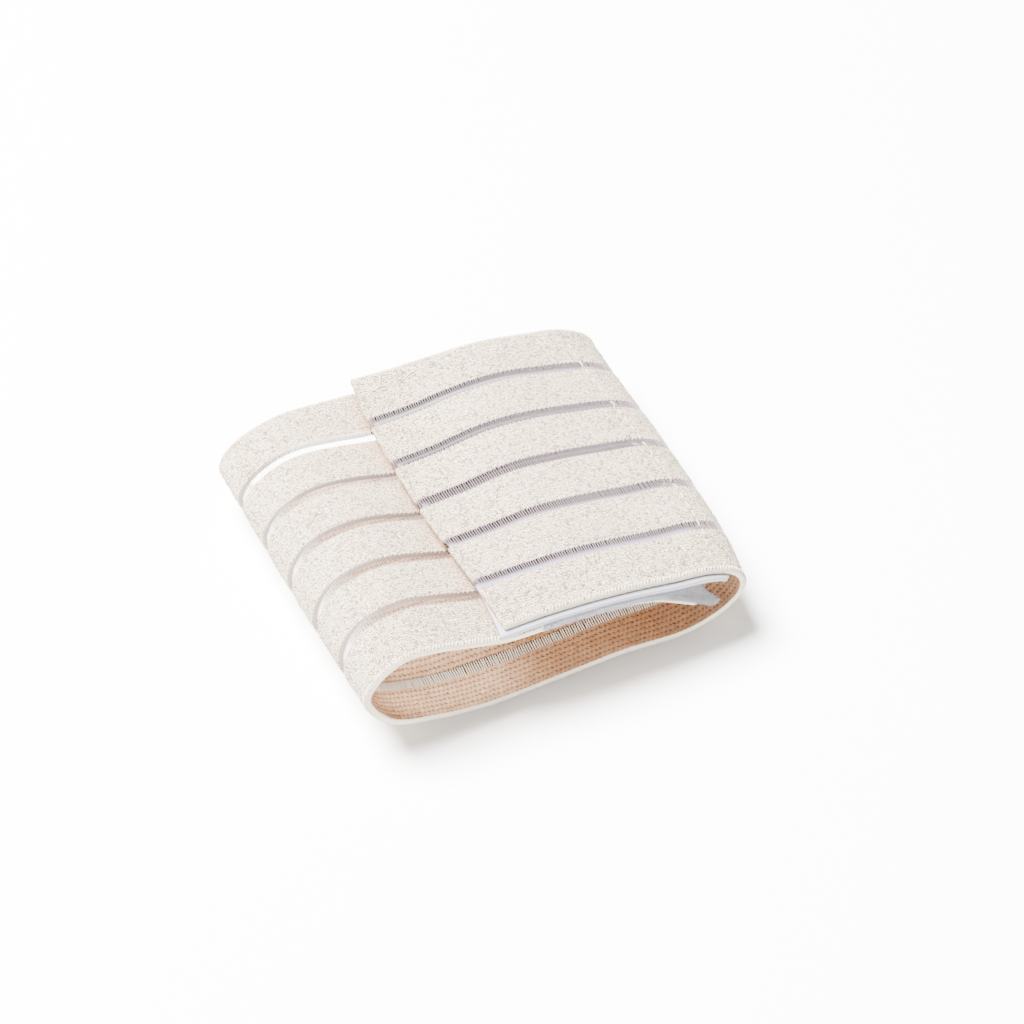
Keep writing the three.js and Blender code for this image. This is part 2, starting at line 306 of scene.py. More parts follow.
# %% Mesh builders
def add_piece(name, points, quads, cloth_map, finishes, finish_of=None, marks=None):
    """Makes a mesh from quads, with its cloth map, its finishes and its named marks."""
    mesh = bpy.data.meshes.new(name)
    mesh.vertices.add(len(points))
    mesh.vertices.foreach_set("co", points.astype(np.float32).ravel())
    mesh.loops.add(quads.size)
    mesh.loops.foreach_set("vertex_index", quads.astype(np.int32).ravel())
    mesh.polygons.add(len(quads))
    mesh.polygons.foreach_set("loop_start", np.arange(0, quads.size, 4, dtype=np.int32))
    mesh.polygons.foreach_set("use_smooth", np.ones(len(quads), dtype=bool))
    if finish_of is not None:
        mesh.polygons.foreach_set("material_index", finish_of.astype(np.int32))
    mesh.update(calc_edges=True)
    layer = mesh.uv_layers.new(name="cloth")
    layer.data.foreach_set("uv", cloth_map[quads.ravel()].astype(np.float32).ravel())
    for mark, values in (marks or {}).items():
        attribute = mesh.attributes.new(mark, "FLOAT", "POINT")
        attribute.data.foreach_set("value", values.astype(np.float32))
    for finish in finishes:
        mesh.materials.append(finish)
    piece = bpy.data.objects.new(name, mesh)
    bpy.context.scene.collection.objects.link(piece)
    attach(piece, "root")
    print(name, "-", len(quads) * 2, "triangles")
    return piece


def strand_mesh(paths, radii, sides):
    """Tubes along many paths at once: points, quads and cloth map. sides is even."""
    count, stations = paths.shape[:2]
    tangent = np.gradient(paths, axis=1)
    tangent /= np.linalg.norm(tangent, axis=-1, keepdims=True) + 1e-12
    chord = paths[:, -1] - paths[:, 0]
    middle = paths[:, stations // 2] - (paths[:, 0] + paths[:, -1]) / 2
    helper = np.cross(chord, middle + np.array([1e-6, 3e-6, 7e-6]))
    helper = np.repeat(helper[:, None], stations, 1)
    side = np.cross(tangent, helper)
    side /= np.linalg.norm(side, axis=-1, keepdims=True) + 1e-12
    third = np.cross(tangent, side)
    angle = np.arange(sides) * 2 * np.pi / sides
    ring = (np.cos(angle)[:, None] * side[:, :, None] + np.sin(angle)[:, None] * third[:, :, None])
    points = paths[:, :, None] + ring * radii[:, :, None, None]
    index = np.arange(count * stations * sides).reshape(count, stations, sides)
    round_on = np.roll(index, -1, 2)
    walls = np.stack([index[:, :-1], round_on[:, :-1], round_on[:, 1:], index[:, 1:]], -1)
    quads = [walls.reshape(-1, 4)]
    for k in range(1, sides - 2, 2):
        quads.append(index[:, 0][:, [0, k + 2, k + 1, k]])
        quads.append(index[:, -1][:, [0, k, k + 1, k + 2]])
    steps = np.linalg.norm(np.diff(paths, axis=1), axis=-1) / MM
    along = np.concatenate([np.zeros((count, 1)), np.cumsum(steps, 1)], 1)
    cloth_map = np.zeros((count, stations, sides, 2))
    cloth_map[..., 0] = along[:, :, None]
    cloth_map[..., 1] = np.arange(sides) / sides
    return points.reshape(-1, 3), np.vstack(quads), cloth_map.reshape(-1, 2)


def add_strands(name, paths, radii, sides, finish, lowest=None):
    """Makes one piece of many tubes. lowest, in metres, keeps them over the table."""
    points, quads, cloth_map = strand_mesh(paths, radii, sides)
    if lowest is not None:
        points[:, 2] = np.maximum(points[:, 2], lowest)
    return add_piece(name, points, quads, cloth_map, [finish])


def ribbon_quads(steps, ring, pairs):
    """Quads of a closed ribbon: its walls from ring to ring, then a cap at each end."""
    index = np.arange((steps + 1) * ring).reshape(steps + 1, ring)
    beside = np.roll(index, -1, 1)
    walls = np.stack([index[:-1], index[1:], beside[1:], beside[:-1]], -1).reshape(-1, 4)
    caps = np.array(pairs)
    return np.vstack([walls, index[0][caps], index[-1][caps][:, ::-1]])


# %% [markdown]
# ## Finishes: the shared effects
# Three effects are used more than once, so each is a node group. They give out only heights,
# masks and colours, and the surface itself stays in each finish.

# %% Node helpers
def new_group(name, inputs, outputs):
    """A shader node group with named inputs and outputs, and its two end nodes."""
    group = bpy.data.node_groups.new(name, "ShaderNodeTree")
    for label, kind, value in inputs:
        made = group.interface.new_socket(label, in_out="INPUT", socket_type=kind)
        if value is not None:
            made.default_value = value
    for label, kind in outputs:
        group.interface.new_socket(label, in_out="OUTPUT", socket_type=kind)
    print("effect:", name)
    return group, group.nodes.new("NodeGroupInput"), group.nodes.new("NodeGroupOutput")


def calculate(tree, operation, *values, clamp=False):
    """A math node whose inputs are numbers or sockets. Returns its output."""
    node = tree.nodes.new("ShaderNodeMath")
    node.operation = operation
    node.use_clamp = clamp
    for slot_number, value in enumerate(values):
        if isinstance(value, (int, float)):
            node.inputs[slot_number].default_value = value
        else:
            tree.links.new(value, node.inputs[slot_number])
    return node.outputs[0]


def ramp(tree, value, slope, start):
    """value * slope + start, kept between 0 and 1."""
    return calculate(tree, "MULTIPLY_ADD", value, slope, start, clamp=True)


def blend_colours(tree, share, first, second):
    """Mixes two colours. share, first and second are values or sockets."""
    node = tree.nodes.new("ShaderNodeMix")
    node.data_type = "RGBA"
    for place, value in ((0, share), (6, first), (7, second)):
        if isinstance(value, (int, float, tuple)):
            node.inputs[place].default_value = value
        else:
            tree.links.new(value, node.inputs[place])
    return node.outputs[2]


def use_group(tree, group, **values):
    """Adds a group to a tree. Underscores in the names stand for spaces."""
    node = tree.nodes.new("ShaderNodeGroup")
    node.node_tree = group
    for label, value in values.items():
        socket = node.inputs[label.replace("_", " ")]
        if isinstance(value, (int, float, tuple)):
            socket.default_value = value
        else:
            tree.links.new(value, socket)
    return node


def split_place(tree, place):
    """The two parts of a place in millimetres, along and across, as sockets."""
    node = tree.nodes.new("ShaderNodeSeparateXYZ")
    tree.links.new(place, node.inputs[0])
    return node.outputs[0], node.outputs[1]


NUMBER = "NodeSocketFloat"
PLACE = "NodeSocketVector"


# %% [markdown]
# ### Knitted loops
# Loops stand in rows across the cloth. Each loop is a rounded bump with a small hole at its
# foot, and each row is shifted by a part of a loop against the one before. This is the look of
# a knit, not its real path of yarn. A noise bends the rows, because real ones are never straight.

# %% Effect: rows of knitted loops
def make_knit_loops():
    group, given, result = new_group(
        "Knit loops",
        [
            ("Place", PLACE, None),
            ("Loop length", NUMBER, 1.0),
            ("Row width", NUMBER, 1.0),
            ("Shift", NUMBER, 0.5),
            ("Slant", NUMBER, 0.0),
            ("Hole size", NUMBER, 0.2),
            ("Waver", NUMBER, 0.5),
        ],
        [("Height", NUMBER), ("Holes", NUMBER), ("Pick", NUMBER)],
    )
    along, across = split_place(group, given.outputs["Place"])
    wobble = group.nodes.new("ShaderNodeTexNoise")
    wobble.inputs["Scale"].default_value = 0.9
    wobble.inputs["Detail"].default_value = 1.0
    group.links.new(given.outputs["Place"], wobble.inputs["Vector"])
    stray = calculate(group, "SUBTRACT", wobble.outputs["Fac"], 0.5)
    stray = calculate(group, "MULTIPLY", stray, given.outputs["Waver"])
    row_place = calculate(group, "DIVIDE", across, given.outputs["Row width"])
    row_place = calculate(group, "ADD", stray, row_place)
    row_number = calculate(group, "FLOOR", row_place)
    in_row = calculate(group, "SUBTRACT", calculate(group, "FRACT", row_place), 0.5)
    loop_place = calculate(group, "DIVIDE", along, given.outputs["Loop length"])
    loop_place = calculate(group, "MULTIPLY_ADD", row_number, given.outputs["Shift"], loop_place)
    loop_place = calculate(group, "MULTIPLY_ADD", in_row, given.outputs["Slant"], loop_place)
    loop_place = calculate(group, "ADD", stray, loop_place)
    loop_number = calculate(group, "FLOOR", loop_place)
    in_loop = calculate(group, "SUBTRACT", calculate(group, "FRACT", loop_place), 0.5)
    across_cut = calculate(group, "COSINE", calculate(group, "MULTIPLY", in_row, FULL_TURN))
    along_cut = calculate(group, "COSINE", calculate(group, "MULTIPLY", in_loop, FULL_TURN))
    both = calculate(group, "ADD", across_cut, along_cut)
    height = ramp(group, both, 0.25, 0.5)
    corner_across = calculate(group, "SUBTRACT", 0.5, calculate(group, "ABSOLUTE", in_row))
    corner_along = calculate(group, "SUBTRACT", 0.5, calculate(group, "ABSOLUTE", in_loop))
    wide = calculate(group, "MULTIPLY", corner_across, given.outputs["Row width"])
    long = calculate(group, "MULTIPLY", corner_along, given.outputs["Loop length"])
    away = calculate(group, "SQRT", calculate(
        group, "ADD", calculate(group, "POWER", wide, 2.0), calculate(group, "POWER", long, 2.0)))
    holes = calculate(group, "SUBTRACT", 1.25, calculate(
        group, "DIVIDE", away, given.outputs["Hole size"]), clamp=True)
    pick = group.nodes.new("ShaderNodeTexWhiteNoise")
    pick.noise_dimensions = "2D"
    numbers = group.nodes.new("ShaderNodeCombineXYZ")
    group.links.new(loop_number, numbers.inputs[0])
    group.links.new(row_number, numbers.inputs[1])
    group.links.new(numbers.outputs[0], pick.inputs["Vector"])
    group.links.new(height, result.inputs["Height"])
    group.links.new(holes, result.inputs["Holes"])
    group.links.new(pick.outputs["Value"], result.inputs["Pick"])
    return group


knit_loops = make_knit_loops()


# %% [markdown]
# ### Loose fibres
# Spun yarn is hairy. A fine, slightly twisted noise breaks up every yarn surface, and its
# highest spots serve as flecks.

# %% Effect: loose fibres
def make_loose_fibres():
    group, given, result = new_group(
        "Loose fibres",
        [("Place", PLACE, None), ("Fineness", NUMBER, 4.0)],
        [("Height", NUMBER), ("Flecks", NUMBER)],
    )
    hairs = group.nodes.new("ShaderNodeTexNoise")
    hairs.inputs["Detail"].default_value = 3.0
    hairs.inputs["Roughness"].default_value = 0.7
    hairs.inputs["Distortion"].default_value = 0.6
    group.links.new(given.outputs["Place"], hairs.inputs["Vector"])
    group.links.new(given.outputs["Fineness"], hairs.inputs["Scale"])
    flecks = calculate(group, "SUBTRACT", hairs.outputs["Fac"], 0.62)
    flecks = calculate(group, "MULTIPLY", flecks, 9.0, clamp=True)
    group.links.new(hairs.outputs["Fac"], result.inputs["Height"])
    group.links.new(flecks, result.inputs["Flecks"])
    return group


loose_fibres = make_loose_fibres()


# %% [markdown]
# ### Twisted yarn
# A thread's plies run round it on a slant. A strand's cloth map gives the way along it and
# round it, and their sum makes the slant.

# %% Effect: twisted yarn
def make_twisted_yarn():
    group, given, result = new_group(
        "Twisted yarn",
        [("Place", PLACE, None), ("Twist length", NUMBER, 0.6), ("Plies", NUMBER, 2.0)],
        [("Height", NUMBER)],
    )
    along, across = split_place(group, given.outputs["Place"])
    turn = calculate(group, "DIVIDE", along, given.outputs["Twist length"])
    turn = calculate(group, "ADD", turn, across)
    turn = calculate(group, "MULTIPLY", turn, given.outputs["Plies"])
    ply = calculate(group, "ABSOLUTE", calculate(
        group, "SINE", calculate(group, "MULTIPLY", turn, FULL_TURN / 2)))
    group.links.new(ply, result.inputs["Height"])
    return group


twisted_yarn = make_twisted_yarn()


# %% [markdown]
# ## Finishes: the cloth
# The ribs look like covered rubber: a soft cream outside, pebbled and matt, and tan yarns in
# rows of cells inside. Each finish starts from one plain surface, made by the helpers here.

# %% Finish helpers
def new_finish(name, colour, roughness):
    """A new material with its Principled surface. Returns material, node tree and surface."""
    finish = bpy.data.materials.new(name)
    finish.use_nodes = True
    finish.diffuse_color = colour
    tree = finish.node_tree
    surface = tree.nodes["Principled BSDF"]
    surface.inputs["Base Color"].default_value = colour
    surface.inputs["Roughness"].default_value = roughness
    surface.inputs["Specular IOR Level"].default_value = 0.25
    print("finish:", name)
    return finish, tree, surface


def paint(tree, surface, base):
    """Gives the surface its colour."""
    tree.links.new(base, surface.inputs["Base Color"])


def cloth_place(tree):
    """The cloth map as a place in millimetres."""
    node = tree.nodes.new("ShaderNodeUVMap")
    node.uv_map = "cloth"
    return node.outputs[0]


def add_bump(tree, surface, height, distance, before=None):
    """Bumps the surface by a height. distance is in metres."""
    bump = tree.nodes.new("ShaderNodeBump")
    bump.inputs["Strength"].default_value = 1.0
    bump.inputs["Distance"].default_value = distance
    tree.links.new(height, bump.inputs["Height"])
    if before is not None:
        tree.links.new(before, bump.inputs["Normal"])
    tree.links.new(bump.outputs[0], surface.inputs["Normal"])
    return bump.outputs[0]


def read_mark(tree, name):
    """A named mark of the mesh, as a value."""
    node = tree.nodes.new("ShaderNodeAttribute")
    node.attribute_name = name
    return node.outputs["Fac"]


# %% [markdown]
# ### The cream outer knit
# Every loop takes its own tint, from a warm brown to nearly white. The feet of the loops are
# painted darker, as shade. The holes between them and the needle holes are darker too, and
# stray fibres give specks and painted glints.
# Beside the flap's cut end a painted warm tint stands for light thrown back by the tan inside.

# %% Finish: the cream outer knit
CREAM = (0.89, 0.66, 0.41, 1)
outer_knit, tree, surface = new_finish("outer_knit", CREAM, 0.95)
surface.inputs["Sheen Weight"].default_value = 0.1
surface.inputs["Sheen Roughness"].default_value = 0.5
place = cloth_place(tree)
loops = use_group(tree, knit_loops, Place=place, Loop_length=0.56, Row_width=0.62, Shift=0.37,
                  Slant=0.2, Hole_size=0.2, Waver=1.6)
fibres = use_group(tree, loose_fibres, Place=place, Fineness=2.8)
tints = tree.nodes.new("ShaderNodeValToRGB")
tints.color_ramp.elements[0].color = (0.32, 0.22, 0.15, 1)
tints.color_ramp.elements[1].color = (1.0, 0.93, 0.77, 1)
for spot, tint in ((0.14, (0.58, 0.44, 0.32, 1)), (0.3, CREAM), (0.7, (0.98, 0.80, 0.55, 1))):
    tints.color_ramp.elements.new(spot).color = tint
tree.links.new(loops.outputs["Pick"], tints.inputs["Fac"])
glow = read_mark(tree, "tan_glow")
warm = blend_colours(tree, glow, tints.outputs["Color"], (0.72, 0.42, 0.24, 1))
# the feet of the loops darker: painted shade
low = blend_colours(tree, 0.35, warm, (0.34, 0.25, 0.20, 1))
base = blend_colours(tree, loops.outputs["Height"], low, warm)
base = blend_colours(tree, loops.outputs["Holes"], base, (0.13, 0.09, 0.07, 1))
specks = ramp(tree, fibres.outputs["Height"], -13.0, 6.0)
base = blend_colours(tree, specks, base, (0.14, 0.08, 0.045, 1))
# painted glints on the highest fibres
glints = ramp(tree, fibres.outputs["Height"], 7.0, -3.8)
base = blend_colours(tree, glints, base, (1.0, 0.97, 0.88, 1))
base = blend_colours(tree, read_mark(tree, "needle_holes"), base, (0.12, 0.09, 0.08, 1))
paint(tree, surface, base)
weave = add_bump(tree, surface, loops.outputs["Height"], 0.00022)
add_bump(tree, surface, fibres.outputs["Height"], 0.0003, weave)

# %% [markdown]
# ### The tan inner knit
# The cells are larger than the loops outside, and their rows slant. Some cells are redder
# than others. Their crests are painted paler and their feet darker, as light and shade on the
# cells. A painted shade makes the inside darker toward the right fold.

# %% Finish: the tan inner knit
TAN = (0.56, 0.345, 0.19, 1)
TAN_PALE = (1.0, 0.76, 0.50, 1)
TAN_DARK = (0.03, 0.012, 0.008, 1)
inner_knit, tree, surface = new_finish("inner_knit", TAN, 0.8)
place = cloth_place(tree)
loops = use_group(tree, knit_loops, Place=place, Loop_length=1.05, Row_width=1.65, Shift=0.5,
                  Slant=0.9, Hole_size=0.25, Waver=0.7)
fibres = use_group(tree, loose_fibres, Place=place, Fineness=2.0)
# crests paler and feet darker: painted light and shade on the cells
base = blend_colours(tree, loops.outputs["Height"], TAN, TAN_PALE)
reddish = calculate(tree, "MULTIPLY", loops.outputs["Pick"], 0.35)
base = blend_colours(tree, reddish, base, (0.62, 0.30, 0.17, 1))
along, across = split_place(tree, place)
deep_in = ramp(tree, along, -0.02, 2.5)
deep_in = calculate(tree, "MULTIPLY", deep_in, 0.65)
base = blend_colours(tree, deep_in, base, (0.36, 0.16, 0.07, 1))
base = blend_colours(tree, loops.outputs["Holes"], base, TAN_DARK)
flecks = calculate(tree, "MULTIPLY", fibres.outputs["Flecks"], 0.6)
base = blend_colours(tree, flecks, base, (0.98, 0.78, 0.56, 1))
paint(tree, surface, base)
weave = add_bump(tree, surface, loops.outputs["Height"], 0.0002)
add_bump(tree, surface, fibres.outputs["Height"], 0.0002, weave)

# %% [markdown]
# ### The side walls of a rib
# The walls beside a ladder are seen only between its strands, in deep shade. The strands are
# thinner than a pixel, so light alone leaves the ladders too pale. The shade is painted here
# by the way along the strap: dark on the flap and the hump, paler in the left fold and at the
# cut end.

# %% Finish: the side walls of a rib
rib_wall, tree, surface = new_finish("rib_wall", (0.30, 0.20, 0.15, 1), 0.9)
place = cloth_place(tree)
fibres = use_group(tree, loose_fibres, Place=place, Fineness=2.5)
along, across = split_place(tree, place)
on_flap = ramp(tree, along, -0.1, 6.5)
in_fold = ramp(tree, along, 0.1, -15.5)
on_hump = ramp(tree, along, 0.07, -13.0)
base = blend_colours(tree, fibres.outputs["Flecks"], (0.11, 0.05, 0.03, 1), (0.30, 0.17, 0.10, 1))
base = blend_colours(tree, on_flap, base, (0.03, 0.014, 0.018, 1))
base = blend_colours(tree, in_fold, base, (0.46, 0.38, 0.33, 1))
base = blend_colours(tree, on_hump, base, (0.12, 0.08, 0.065, 1))
at_cut = ramp(tree, along, -0.7, 1.4)
base = blend_colours(tree, at_cut, base, (0.62, 0.52, 0.46, 1))
paint(tree, surface, base)
add_bump(tree, surface, fibres.outputs["Height"], 0.0002)

# %% [markdown]
# ### Dark strands of painted shade
# On the resting run, dark strands cross the ladders behind the clear ones. They are painted
# shade, standing for the deep shade under the strap.

# %% Finish: dark strands of painted shade
painted_shade_strands, tree, surface = new_finish("painted_shade_strands", (0.15, 0.07, 0.035, 1), 0.9)
fibres = use_group(tree, loose_fibres, Place=cloth_place(tree), Fineness=2.5)
add_bump(tree, surface, fibres.outputs["Height"], 0.0002)

# %% [markdown]
# ### Edge yarn
# The cream yarn of the bound edges, a touch paler than the knit. It is used for the
# stitches over the selvedges, for the rims under them and for the loops along the ladders.

# %% Finish: edge yarn
edge_yarn, tree, surface = new_finish("edge_yarn", (0.93, 0.80, 0.63, 1), 0.9)
yarn = use_group(tree, twisted_yarn, Place=cloth_place(tree), Twist_length=0.5, Plies=2.0)
base = blend_colours(tree, yarn.outputs["Height"], (0.62, 0.49, 0.36, 1), (0.98, 0.88, 0.70, 1))
paint(tree, surface, base)
add_bump(tree, surface, yarn.outputs["Height"], 0.00006)

# %% [markdown]
# ## Finishes: threads, filaments and tapes
# The sewing thread is smoother and tighter than the knit's yarn, with three plies.

# %% Finish: sewing thread
sewing_thread, tree, surface = new_finish("sewing_thread", (0.93, 0.85, 0.73, 1), 0.5)
yarn = use_group(tree, twisted_yarn, Place=cloth_place(tree), Twist_length=0.7, Plies=3.0)
add_bump(tree, surface, yarn.outputs["Height"], 0.00005)

# %% [markdown]
# ### Clear filament
# Clear nylon, seen as strands thinner than a pixel. Their base colour is dimmer than nylon's,
# painted shade, so that the ladders read dark on the flap. The strands marked over_tan, in the
# front ladders over the hump, are a dim tan: painted shade of the tan cloth behind them. The
# strands marked bright, on the resting run and in the back ladder over the hump, give off a
# little light of their own. It stands for light carried along the nylon.

# %% Finish: clear filament
clear_filament, tree, surface = new_finish("clear_filament", (0.88, 0.84, 0.83, 1), 0.25)
over_tan = read_mark(tree, "over_tan")
bright = read_mark(tree, "bright")
# dim strand colours: painted shade in the ladders
bare = blend_colours(tree, over_tan, (0.35, 0.28, 0.29, 1), (0.24, 0.165, 0.125, 1))
bare = blend_colours(tree, bright, bare, (1.0, 0.95, 0.88, 1))
paint(tree, surface, bare)
piped = blend_colours(tree, bright, (0, 0, 0, 1), (1.0, 0.87, 0.74, 1))
tree.links.new(piped, surface.inputs["Emission Color"])
surface.inputs["Emission Strength"].default_value = 0.7
surface.inputs["IOR"].default_value = 1.5
surface.inputs["Specular IOR Level"].default_value = 0.5
surface.inputs["Transmission Weight"].default_value = 0.1

# %% [markdown]
# ### Hook tape
# A smooth, cold white tape. Where the ladders show it, shade is painted on. Its pitch is
# 0.6 mm under the ribs' pitch, so it lies across the middle of the back ladder and only at
# the far edge of the front one. The tape's front band and its cut end stay clear of it.

# %% Finish: hook tape
SHADE_PITCH = 13.2
SHADE_START = 38.5 + 2.2
hook_white, tree, surface = new_finish("hook_white", (0.60, 0.56, 0.72, 1), 0.5)
place = cloth_place(tree)
loops = use_group(tree, knit_loops, Place=place, Loop_length=0.8, Row_width=0.8, Shift=0.0,
                  Slant=0.0, Hole_size=0.1, Waver=0.2)
along, across = split_place(tree, place)
inside = calculate(tree, "ADD", across, 39.0, clamp=True)
across_gap = calculate(tree, "FRACT", calculate(
    tree, "DIVIDE", calculate(tree, "ADD", across, SHADE_START), SHADE_PITCH))
shade = ramp(tree, across_gap, 12.0, -0.3)
at_cut = ramp(tree, along, 0.5, -0.5)
in_gap = ramp(tree, across_gap, -15.0, 3.6)
shade = calculate(tree, "MULTIPLY", shade, at_cut)
hidden = blend_colours(tree, shade, (0.40, 0.33, 0.46, 1), (0.035, 0.018, 0.022, 1))
inside = calculate(tree, "MULTIPLY", inside, in_gap)
base = blend_colours(tree, inside, (0.42, 0.41, 0.47, 1), hidden)
paint(tree, surface, base)
add_bump(tree, surface, loops.outputs["Height"], 0.00004)

# %% [markdown]
# ### Loop tape
# A napped tape, greyer than the hook tape. Its fibres catch the light in soft, uneven patches.

# %% Finish: loop tape
loop_nap, tree, surface = new_finish("loop_nap", (0.74, 0.72, 0.76, 1), 1.0)
surface.inputs["Sheen Weight"].default_value = 0.3
place = cloth_place(tree)
fibres = use_group(tree, loose_fibres, Place=place, Fineness=2.2)
nap_share = ramp(tree, fibres.outputs["Height"], 3.5, -1.25)
base = blend_colours(tree, nap_share, (0.66, 0.64, 0.7, 1), (1.0, 1.0, 1.0, 1))
paint(tree, surface, base)
add_bump(tree, surface, fibres.outputs["Height"], 0.0004)

# %% [markdown]
# ## Where the sewing goes
# The hook tape is sewn under the flap: a lazy row near the back selvedge, a tighter one near
# the front, and one across all the ribs before the pinked end. Each row is a list of needle
# holes on the strap. The knit dips a little along each row, and it darkens in every hole.

# %% Needle holes
def end_row(y):
    """Where the row before the pinked end lies along the strap, at each y."""
    return 50.5 + 1.9 * np.sin((y + 40) / 77 * np.pi)


back_holes = [(1.3, 34.4), (10.4, 35.7), (18.7, 37.0), (27.7, 37.3), (36.1, 36.9), (43.2, 37.2)]
back_holes += [(50.5, 37.3)]
front_holes = [(3.8, -33.6), (8.0, -34.4), (12.4, -35.0), (16.4, -36.0), (20.0, -36.7)]
front_holes += [(s, -37.0 + 0.15 * np.sin(s)) for s in np.arange(23.6, 49.5, 3.4)]
end_holes = [(end_row(y), y) for y in np.arange(-37, 37.5, 2.9)]
edge_holes = [(1.1, y) for y in np.arange(-39.4, 39, 1.05)]
print("needle holes:", len(back_holes) + len(front_holes) + len(end_holes) + len(edge_holes))


def dips_at(s, y):
    """How dark a needle hole makes each point, and how far the sewing pulls it down."""
    dark = np.zeros_like(s)
    for hole_s, hole_y in back_holes + front_holes:
        dark = np.maximum(dark, np.exp(-((s - hole_s) ** 2 + (y - hole_y) ** 2) / 0.2))
    for hole_s, hole_y in end_holes + edge_holes:
        dark = np.maximum(dark, 0.4 * np.exp(-((s - hole_s) ** 2 + (y - hole_y) ** 2) / 0.12))
    on_flap = (s > 0) & (s < 51)
    back_line = np.interp(s, *zip(*back_holes))
    front_line = np.interp(s, *zip(*front_holes))
    pull = np.exp(-((y - back_line) ** 2) / 0.8) + np.exp(-((y - front_line) ** 2) / 0.8)
    pull = np.where(on_flap, pull, 0) + np.exp(-((s - end_row(y)) ** 2) / 0.8)
    return dark, 0.03 * np.clip(pull, 0, 1) + 0.2 * dark


# %% [markdown]
# ## The ribs
# A rib is a closed ribbon, 11 mm wide and 1.3 mm thick, with soft edges. Its vertices sit on
# the knit's own grid, half a loop apart, so that the pebbles of the outer face and the cells
# of the inner face are real relief. The finer weave is a bump in the finish. The two rims at
# the selvedges take the edge yarn: the knit's pattern would smear into bars on them.

# %% Ribs
RIB_STEPS = 500
RIB_CELLS = 20
MAP_STEP = 13.2  # how far the pattern moves on from one rib to the next


def rib_relief(column, step):
    """Height of the knit on the outer face and on the inner one, in millimetres."""
    diagonal = np.where((step + column) % 2 == 0, 1.0, -1.0)
    twill = np.where((step + column) % 4 < 2, 1.0, -1.0)
    uneven = rng.normal(0, 1, step.shape)
    outer = 0.05 * diagonal + 0.01 * twill + 0.07 * uneven
    shifted = (step + (column // 3)) % 2 == 0
    inner = np.where(column % 3 == 0, np.where(shifted, -0.08, 0.0), 0.04) + 0.03 * uneven
    return outer, inner


def glow_at(s, y):
    """Warm light on the cloth just beside the flap's cut end, from 0 to 1."""
    gap = outer_face(0 * s, y)[..., 0] - outer_face(s, y)[..., 0]
    near = np.exp(-np.maximum(gap, 0) / 1.4) * (np.abs(s - 197) < 14)
    return 0.9 * near * (gap > -3)


def make_rib(k):
    """One rib: ring points go over the outer face, down a wall, back below, and up a wall."""
    back = rib_back(k)
    front = back - RIB_WIDTH
    s_line = np.linspace(0, STRAP_LENGTH, RIB_STEPS + 1)
    y_line = np.linspace(front, back, RIB_CELLS + 1)
    step, column = np.meshgrid(np.arange(RIB_STEPS + 1), np.arange(RIB_CELLS + 1), indexing="ij")
    s, y = np.meshgrid(s_line, y_line, indexing="ij")
    dark, pull = dips_at(s, y)
    outer, inner = rib_relief(column, step)
    at_edge = (column == 0) | (column == RIB_CELLS)
    outer = np.where(at_edge, -0.16, outer - pull)
    inner = np.where(at_edge, 0.2, inner)
    y = np.clip(y, front + 0.12, back - 0.12)
    waver = 0.04 * np.sin(s_line * FULL_TURN / 2.0)[:, None]
    wall_s = np.repeat(s_line[:, None], 2, 1)
    wall_h = np.array([[-0.2, -1.4]]) + waver * [1.0, -1.0]
    wall_y = np.ones((RIB_STEPS + 1, 2))
    ring_s = np.concatenate([s, wall_s, s[:, ::-1], wall_s], 1)
    ring_y = np.concatenate([y, back * wall_y, y[:, ::-1], front * wall_y], 1)
    below = (-RIB_THICKNESS - inner)[:, ::-1]
    ring_h = np.concatenate([outer, wall_h, below, wall_h[:, ::-1]], 1)
    thin = np.clip(0.8 + np.minimum(s_line, STRAP_LENGTH - s_line) / 3, 0.8, 1)[:, None]
    ring_h = -0.65 + (ring_h + 0.65) * thin
    points = cloth_point(ring_s, ring_y, ring_h)
    ring = points.shape[1]
    finish_row = np.ones(ring)
    finish_row[:RIB_CELLS + 1] = 0
    finish_row[-1] = 0
    finish_row[RIB_CELLS + 1] = 3 if k == 0 else 2
    finish_row[-2] = 3 if k == RIB_COUNT - 1 else 2
    bottom_last = 2 * RIB_CELLS + 3
    pairs = [(c, c + 1, bottom_last - c - 1, bottom_last - c) for c in range(RIB_CELLS)]
    pairs.append((RIB_CELLS, RIB_CELLS + 1, RIB_CELLS + 2, RIB_CELLS + 3))
    pairs.append((0, bottom_last, bottom_last + 1, bottom_last + 2))
    quads = ribbon_quads(RIB_STEPS, ring, pairs)
    finish_of = np.concatenate([np.tile(finish_row, RIB_STEPS), np.zeros(2 * len(pairs))])
    cloth_map = np.stack([ring_s + 0.25, ring_y - front + MAP_STEP * k], -1).reshape(-1, 2)
    holes = np.zeros(ring_s.shape)
    holes[:, :RIB_CELLS + 1] = dark
    glow = np.zeros(ring_s.shape)
    glow[:, :RIB_CELLS + 1] = glow_at(s, y)
    # painted warm light on the flap's cut end itself
    glow[0] = 0.5
    marks = {"needle_holes": holes.ravel(), "tan_glow": glow.ravel()}
    finishes = [outer_knit, inner_knit, rib_wall, edge_yarn]
    name = f"rib_{k + 1}"
    return add_piece(name, points.reshape(-1, 3), quads, cloth_map, finishes, finish_of, marks)


ribs = [make_rib(k) for k in range(RIB_COUNT)]
for k, rib in enumerate(ribs):
    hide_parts(f"elastic_rib_{k + 1}")


# %% [markdown]
# ## The bound edges
# Both selvedges are oversewn: fine cream stitches wrap round the edge, side by side. Each one
# here is a strand that starts on the outer face, goes round the edge, and ends on the inner
# face.

